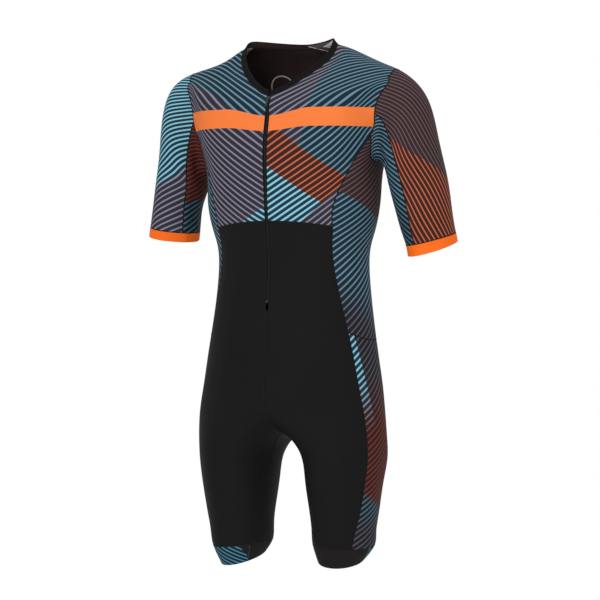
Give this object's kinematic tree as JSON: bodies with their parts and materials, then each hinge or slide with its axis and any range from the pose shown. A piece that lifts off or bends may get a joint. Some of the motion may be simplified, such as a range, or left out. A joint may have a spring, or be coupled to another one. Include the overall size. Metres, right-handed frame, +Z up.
{
  "type": "triathlon suit",
  "caption": "Short-sleeved one-piece triathlon suit, worn shape, hollow, with a front zip, a U neckline, short legs and gripper bands.",
  "frame": {"origin": "midway between the tops of the two shoulders, where the wearer carries the suit", "axes": "+Z up along the body, the suit faces -Y, +X is the wearer's left"},
  "size_m": [0.5884, 0.254, 0.9208],
  "materials": {
    "chest": "matt printed knit",
    "front": "smooth black knit",
    "side": "matt printed knit",
    "leg_side": "matt printed knit",
    "back": "matt dark knit",
    "seat": "smooth black knit",
    "sleeve_outer": "matt printed knit",
    "sleeve_under": "matt printed knit",
    "cuff": "matt orange gripper band",
    "leg_band": "matt dark gripper band",
    "neck_binding": "matt black binding",
    "zip_tape": "matt black woven tape",
    "zip_stop": "black lacquer",
    "zip_slider": "black lacquer",
    "zip_pull_tab": "dark lacquer"
  },
  "bodies": {
    "suit": {"neck_binding": "neck_binding", "back": "back", "chest_left": "chest", "front_left": "front", "side_left": "side", "leg_side_left": "leg_side", "seat_left": "seat", "sleeve_outer_left": "sleeve_outer", "sleeve_under_left": "sleeve_under", "cuff_left": "cuff", "leg_band_left": "leg_band", "zip_tape_left": "zip_tape", "chest_right": "chest", "front_right": "front", "side_right": "side", "leg_side_right": "leg_side", "seat_right": "seat", "sleeve_outer_right": "sleeve_outer", "sleeve_under_right": "sleeve_under", "cuff_right": "cuff", "leg_band_right": "leg_band", "zip_tape_right": "zip_tape", "zip_slider": "zip_slider", "zip_stop": "zip_stop"},
    "pull_tab": {"zip_pull_tab": "zip_pull_tab"}
  },
  "joints": [
    {"name": "pull_tab_hinge", "type": "hinge", "parent": "suit", "child": "pull_tab", "pos_m": [-0.00304, -0.10211, -0.08759], "axis": [-1, 0, 0], "range_deg": [0, 150]}
  ]
}
